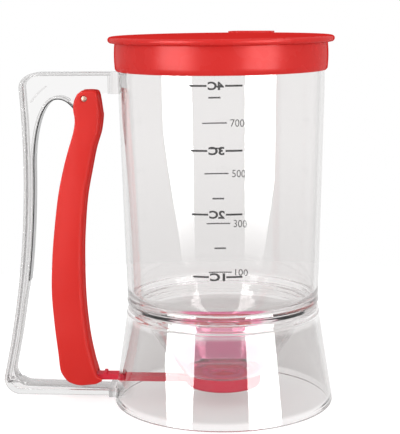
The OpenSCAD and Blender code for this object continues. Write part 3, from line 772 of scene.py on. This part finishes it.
def pinBody():  # a pin with domed ends
    pivotX, pivotZ, steps = *(v * mm for v in handle["pivot"]), pin["domeSteps"]
    turns = [math.tau * i / pin["sides"] for i in range(pin["sides"])]
    dome = [(pin["radius"] * math.sin(a), pin["half"] - pin["dome"] * (1 - math.cos(a)))
            for a in (math.pi / 2 * k / steps for k in range(1, steps + 1))]
    return bridged("pivotPin", [
        [(pivotX + radius * math.cos(t) * mm, y * mm, pivotZ + radius * math.sin(t) * mm)
         for t in turns] for radius, y in [(radius, -y) for radius, y in dome] + dome[::-1]])


pinPiece = pinBody()
smoothShade(pinPiece.data, pin["sharp"])
paint(pinPiece.data, nodeFinish["pivot_pin"])
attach(pinPiece, "lever")
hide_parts("pivot_pin")
print("pin built")

spring = {"thick": 0.5, "wide": 6.8, "gap": 0.1, "endZ": 61.5, "endAngle": 19,
          "legSteps": 24, "archSteps": 40, "endSteps": 32, "sharp": 40}


def springPath():  # along the opening's edge, and over its top to the lever
    out = -spring["gap"] - spring["thick"] / 2
    leg = upLine(legX, out, spring["endZ"], handle["archZ"], spring["legSteps"], 0)
    return leg + archLine(out, 0, spring["archSteps"], spring["endAngle"], spring["endSteps"])


def newTree(name, inputs, output):
    tree = bpy.data.node_groups.new(name, "GeometryNodeTree")
    for key, kind in inputs.items():
        tree.interface.new_socket(key, in_out="INPUT", socket_type="NodeSocket" + kind)
    tree.interface.new_socket(output, in_out="OUTPUT", socket_type="NodeSocketGeometry")
    return Nodes(tree)


def stripTree():  # a flat strip along a curve in the handle's plane
    make = newTree("stripOnPath", {"Path": "Geometry", "Wide": "Float", "Thick": "Float",
                                   "Finish": "Material"}, "Strip")
    node, link, join = make.add, make.link, make.join
    given, result = node("NodeGroupInput"), node("NodeGroupOutput")
    upright = node("GeometryNodeSetCurveNormal")
    upright.mode = "Z_UP"
    section = node("GeometryNodeCurvePrimitiveQuadrilateral")
    sweep = node("GeometryNodeCurveToMesh")
    sweep.inputs["Fill Caps"].default_value = True
    real, dressed = node("GeometryNodeRealizeInstances"), node("GeometryNodeSetMaterial")
    link(given.outputs["Path"], upright.inputs["Curve"])
    link(given.outputs["Wide"], section.inputs["Width"])
    link(given.outputs["Thick"], section.inputs["Height"])
    join(upright, sweep, "Curve")
    join(section, sweep, "Profile Curve")
    join(sweep, real)
    join(real, dressed, "Geometry")
    link(given.outputs["Finish"], dressed.inputs["Material"])
    join(dressed, result)
    return make.tree


def grow(piece, tree, name, **values):  # runs a node tree on a piece, and keeps its plain result
    change = piece.modifiers.new(name, "NODES")
    change.node_group = tree
    for socket in tree.interface.items_tree:
        if socket.name in values:
            change[socket.identifier] = values[socket.name]
    return settle(piece, name)


path = bpy.data.curves.new("springPath", "CURVE")
path.dimensions = "3D"
line = path.splines.new("POLY")
springPoints = springPath()
line.points.add(len(springPoints) - 1)
for point, (x, z) in zip(line.points, springPoints):
    point.co = (x * mm, 0, z * mm, 1)
springPiece = grow(addObject("springPath", path), stripTree(), "leafSpring",
                   Wide=spring["wide"] * mm, Thick=spring["thick"] * mm,
                   Finish=nodeFinish["leaf_spring"])
smoothShade(springPiece.data, spring["sharp"])
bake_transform(springPiece)
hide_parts("leaf_spring")
print("spring built:", [round(v / mm, 2) for v in springPiece.dimensions])

cups = {"labels": ("1C", "2C", "3C", "4C"), "firstZ": 74.3, "step": 30.05, "line": 0.9,
        "leftDash": (-11.5, -3.7), "rightDash": (4.6, 12.4), "text": (-3.2, 4.1), "high": 3.9,
        "bold": 0.04, "mirrored": True, "side": -1, "lean": 0.0, "leanZ": 0.0}
milli = {"labels": ("100", "300", "500", "700"), "firstZ": 55.1, "step": 27.44, "line": 0.7,
         "dash": (-11.5, 2.1), "text": (4.05, 11.65), "high": 4.1, "bold": 0.0,
         "mirrored": False, "side": 1, "lean": -0.03, "leanZ": 69,
         "shortFirst": 68.8, "shortDash": (-7.5, -0.9), "shortLine": 0.9}
ink = {"lift": 0.03, "thick": 0.04, "bend": 50, "strips": 40, "strip": 0.06, "dashRows": 14}


def onJug(x, out, z, side):  # a flat point, in mm, laid round the jug's wall
    radius = jugOut(z) + ink["lift"] + out
    angle = x / ink["bend"]
    return Vector((radius * math.sin(angle), side * radius * math.cos(angle), z)) * mm


def tickTree():  # equal dashes, one above the other, bent round the jug
    lengths = ("First", "Step", "Middle", "Lean", "LeanZ", "Width", "Line", "Ink", "LowZ",
               "LowRadius", "Slope", "Side")
    make = newTree("scaleTicks", {"Count": "Int", **dict.fromkeys(lengths, "Float"),
                                  "Finish": "Material"}, "Ticks")
    node, link, join, maths = make.add, make.link, make.join, make.maths
    given, result = node("NodeGroupInput").outputs, node("NodeGroupOutput")

    def vector(x=None, y=None, z=None):
        parts = node("ShaderNodeCombineXYZ")
        for i, source in enumerate((x, y, z)):
            if source is not None:
                link(source, parts.inputs[i])
        return parts.outputs[0]

    rows = node("GeometryNodeMeshLine")
    link(given["Count"], rows.inputs["Count"])
    link(vector(given["Middle"], None, given["First"]), rows.inputs["Start Location"])
    link(vector(None, None, given["Step"]), rows.inputs["Offset"])
    dash = node("GeometryNodeMeshCube")
    link(vector(given["Width"], given["Ink"], given["Line"]), dash.inputs["Size"])
    dash.inputs["Vertices X"].default_value = ink["dashRows"]
    copies = node("GeometryNodeInstanceOnPoints")
    join(rows, copies, "Points")
    join(dash, copies, "Instance")
    real = node("GeometryNodeRealizeInstances")
    join(copies, real)
    where = node("ShaderNodeSeparateXYZ")
    join(node("GeometryNodeInputPosition"), where)
    x, y, z = where.outputs
    leant = maths("ADD", x, maths("MULTIPLY", maths("SUBTRACT", z, given["LeanZ"]),
                                  given["Lean"]))
    angle = maths("DIVIDE", leant, ink["bend"] * mm)
    radius = maths("ADD", given["LowRadius"], maths("MULTIPLY", given["Slope"], maths(
        "SUBTRACT", z, given["LowZ"])))
    radius = maths("ADD", radius, maths("MULTIPLY", y, given["Side"]))
    bend = node("GeometryNodeSetPosition")
    join(real, bend, "Geometry")
    link(vector(maths("MULTIPLY", radius, maths("SINE", angle)),
                maths("MULTIPLY", given["Side"], maths("MULTIPLY", radius, maths("COSINE", angle))),
                z), bend.inputs["Position"])
    dressed = node("GeometryNodeSetMaterial")
    join(bend, dressed, "Geometry")
    link(given["Finish"], dressed.inputs["Material"])
    join(dressed, result)
    return make.tree


ticks = tickTree()


def makeTicks(name, scale, first, span, thick):
    seed = addObject(name + "Seed", bpy.data.meshes.new(name + "Seed"))
    slope = (jug["rim"] - jug["waist"]) / (jug["landZ"] - jug["taperZ"])
    piece = grow(seed, ticks, name, Count=len(scale["labels"]), First=first * mm,
                 Step=scale["step"] * mm, Middle=(span[0] + span[1]) / 2 * mm,
                 Width=(span[1] - span[0]) * mm, Line=thick * mm, Ink=ink["thick"] * mm,
                 Side=float(scale["side"]), Lean=scale["lean"], LeanZ=scale["leanZ"] * mm,
                 LowZ=jug["taperZ"] * mm, Slope=slope, Finish=printBlack,
                 LowRadius=(jug["waist"] + ink["lift"] + ink["thick"] / 2) * mm)
    tidyMesh(piece.data)
    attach(piece, "jug")


def makeLabel(name, scale, words, z):
    curve = bpy.data.curves.new(name, "FONT")
    curve.body, curve.size, curve.offset, curve.extrude = words, 1.0, scale["bold"], 0.5
    curve.resolution_u = 4
    piece = settle(addObject(name + "Flat", curve), name)
    shape = opened(piece.data)
    for k in range(1, ink["strips"]):  # cuts it into upright strips, to follow the wall
        everything = list(shape.verts) + list(shape.edges) + list(shape.faces)
        bmesh.ops.bisect_plane(shape, geom=everything, plane_co=(k * ink["strip"], 0, 0),
                               plane_no=(1, 0, 0))
    saved(shape, piece.data)
    sizes = [[v.co[i] for v in piece.data.vertices] for i in range(3)]
    lo, hi = [min(values) for values in sizes], [max(values) for values in sizes]
    (left, right), shift = scale["text"], scale["lean"] * (z - scale["leanZ"])
    for v in piece.data.vertices:
        across, up, out = ((v.co[i] - lo[i]) / (hi[i] - lo[i]) for i in range(3))
        if scale["mirrored"]:
            across = 1 - across
        v.co = onJug(left + (right - left) * across + shift, out * ink["thick"],
                     z + (up - 0.5) * scale["high"], scale["side"])
    tidyMesh(piece.data)
    paint(piece.data, printBlack)
    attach(piece, "jug")


for i, words in enumerate(cups["labels"]):
    makeLabel("cupLabel" + str(i + 1), cups, words, cups["firstZ"] + cups["step"] * i)
for name, span in (("cupDashesLeft", cups["leftDash"]), ("cupDashesRight", cups["rightDash"])):
    makeTicks(name, cups, cups["firstZ"], span, cups["line"])
for i, words in enumerate(milli["labels"]):
    makeLabel("milliLabel" + words, milli, words, milli["firstZ"] + milli["step"] * i)
makeTicks("milliLines", milli, milli["firstZ"], milli["dash"], milli["line"])
makeTicks("milliShorts", milli, milli["shortFirst"], milli["shortDash"], milli["shortLine"])
print("scales printed")

studio = {"floorRadius": 0.34, "floorSides": 96, "floorDrop": 0.0003, "floorGlow": 0.6,
          "floorColor": (0.6, 0.6, 0.6), "floorThrough": 0.5, "floorGrain": 40,
          "floorRough": (0.5, 0.6), "cardSteps": 8, "fill": 0.68, "distance": 1.0,
          "low": -0.17, "high": 0.8, "bright": 1.85, "card": 20.0, "fadeFrom": -0.21,
          "fadeTo": -0.05, "fadePower": 1.8, "upperLow": 0.95, "upperHigh": 1.3,
          "cameraTurn": 3.3, "topSize": 0.6, "topHigh": 1.2, "topBright": 2.2}
softboxes = {  # angles seen from the object; narrow is the share of the width at the low end
    "softboxLeft": {"inner": -31, "outer": -66, "narrow": 0.25, "fullFrom": 0.0,
                    "upper": (-34, -78)},
    "softboxRight": {"inner": 25, "outer": 60, "narrow": 0.45, "fullFrom": -0.06,
                     "upper": (44, 84)},
}


def floorFinish():
    make = Finish("paleFloor")
    make.feed("Roughness", make.spread(make.noise(studio["floorGrain"]),
                                     *studio["floorRough"]))
    make.setShader(**{"Base Color": (*studio["floorColor"], 1), "Specular IOR Level": 0.0,
                      "Emission Color": (1, 1, 1, 1)})
    path = make.add("ShaderNodeLightPath").outputs
    straight = make.maths("MULTIPLY", path["Is Camera Ray"], studio["floorGlow"])
    through = make.maths("MULTIPLY", path["Is Transmission Ray"], studio["floorThrough"])
    make.feed("Emission Strength", make.maths("MAXIMUM", straight, through))
    return make.material


def addSky():  # white where it is seen, and weaker as the light on other surfaces
    world = bpy.data.worlds.new("studio")
    scene.world = world
    world.use_nodes = True
    make = Nodes(world.node_tree)
    make.tree.nodes.clear()
    shader = make.add("ShaderNodeBackground", Color=(1, 1, 1, 1))
    make.join(shader, make.add("ShaderNodeOutputWorld"), "Surface")
    path = make.add("ShaderNodeLightPath").outputs
    seen = make.maths("MAXIMUM", path["Is Camera Ray"], path["Is Glossy Ray"])
    seen = make.maths("MAXIMUM", seen, path["Is Transmission Ray"])
    make.link(make.spread(seen, studio["fill"], 1.0, 0.0, 1.0), shader.inputs["Strength"])


addSky()
sides = studio["floorSides"]
ring = [(studio["floorRadius"] * math.cos(a), studio["floorRadius"] * math.sin(a),
         -studio["floorDrop"]) for a in (math.tau * i / sides for i in range(sides))]
floorMesh = bpy.data.meshes.new("floor")
floorMesh.from_pydata(ring, [], [list(range(sides))])
floorPiece = addObject("floor", floorMesh, floorFinish())
floorPiece.visible_glossy = False


def around(angle, height):
    turn, far = math.radians(angle + studio["cameraTurn"]), studio["distance"]
    return Vector((math.sin(turn) * far, -math.cos(turn) * far, height))


def addLamp(name, wide, high, bright):  # an area lamp that is never seen itself
    data = bpy.data.lights.new(name, "AREA")
    data.shape, data.size, data.size_y = "RECTANGLE", wide, high
    data.energy = bright * math.pi * data.size * data.size_y
    lamp = addObject(name, data)
    lamp.visible_camera = lamp.visible_transmission = lamp.visible_glossy = False
    return lamp


def addFront(name, inner, outer, rows, throughWalls):  # rows of a height and the share of the width
    points, faces, high, steps = [], [], len(rows), studio["cardSteps"]
    for k in range(steps + 1):
        for height, share in rows:
            points.append(around(inner + (outer - inner) * share * k / steps, height))
        if k:
            faces += [(a - high, a, a + 1, a - high + 1)
                      for a in range(k * high, (k + 1) * high - 1)]
    mesh = bpy.data.meshes.new(name)
    mesh.from_pydata(points, [], faces)
    front = addObject(name, mesh, card.material)
    front.visible_camera = front.visible_diffuse = front.visible_shadow = False
    front.visible_transmission = throughWalls


def softbox(name, span):  # a lamp for the light, a front for gloss, and one that clear walls show
    inner, outer, low, high = span["inner"], span["outer"], studio["low"], studio["high"]
    lamp = addLamp(name, 2 * studio["distance"] * math.tan(math.radians(abs(outer - inner)) / 2),
                   high - low, studio["bright"])
    lamp.location = around((inner + outer) / 2, (high + low) / 2)
    way = Vector((lamp.location.x, lamp.location.y, 0))
    lamp.rotation_euler = way.to_track_quat("Z", "Y").to_euler()
    addFront(name + "Front", inner, outer, ((studio["fadeFrom"], span["narrow"]),
                                            (span["fullFrom"], 1), (high, 1)), False)
    addFront(name + "Upper", *span["upper"], ((studio["upperLow"], 1), (studio["upperHigh"], 1)),
             True)


card = Finish("softboxFront")
card.setShader(**{"Base Color": (0, 0, 0, 1), "Emission Color": (1, 1, 1, 1),
                  "Specular IOR Level": 0.0})
fade = card.maths("POWER", card.spread(card.height(), 0.0, 1.0, studio["fadeFrom"],
                                       studio["fadeTo"]), studio["fadePower"])
card.feed("Emission Strength", card.maths("MULTIPLY", fade, studio["card"]))
for name, span in softboxes.items():
    softbox(name, span)
topLamp = addLamp("topLamp", studio["topSize"], studio["topSize"], studio["topBright"])
topLamp.location.z = studio["topHigh"]  # a weak lamp for the lid's top
print("studio lit")

view = {"place": (0.0361, -0.6260, 0.204), "yaw": -4.33, "pitch": 9.89, "roll": -0.60,
        "lens": 112.86, "sensor": 36, "clip": (0.01, 20)}


def addCamera():
    yaw, pitch, roll = (math.radians(view[key]) for key in ("yaw", "pitch", "roll"))
    ahead = Vector((math.sin(yaw) * math.cos(pitch), math.cos(yaw) * math.cos(pitch),
                    -math.sin(pitch)))
    right = Vector((math.cos(yaw), -math.sin(yaw), 0))
    up = right.cross(ahead)
    across = right * math.cos(roll) + up * math.sin(roll)
    upright = up * math.cos(roll) - right * math.sin(roll)
    data = bpy.data.cameras.new("camera")
    data.sensor_fit, data.sensor_width, data.lens = "HORIZONTAL", view["sensor"], view["lens"]
    data.clip_start, data.clip_end = view["clip"]
    camera = addObject("camera", data)
    turn = Matrix((across, upright, -ahead)).transposed().to_4x4()
    camera.matrix_world = Matrix.Translation(view["place"]) @ turn
    scene.camera = camera


addCamera()
scene.cycles.max_bounces = 48
scene.cycles.transmission_bounces = 48
scene.cycles.transparent_max_bounces = 24
scene.cycles.glossy_bounces = 40
scene.cycles.sample_clamp_indirect = 6.0  # keeps tiny sparkles out of the clear rims
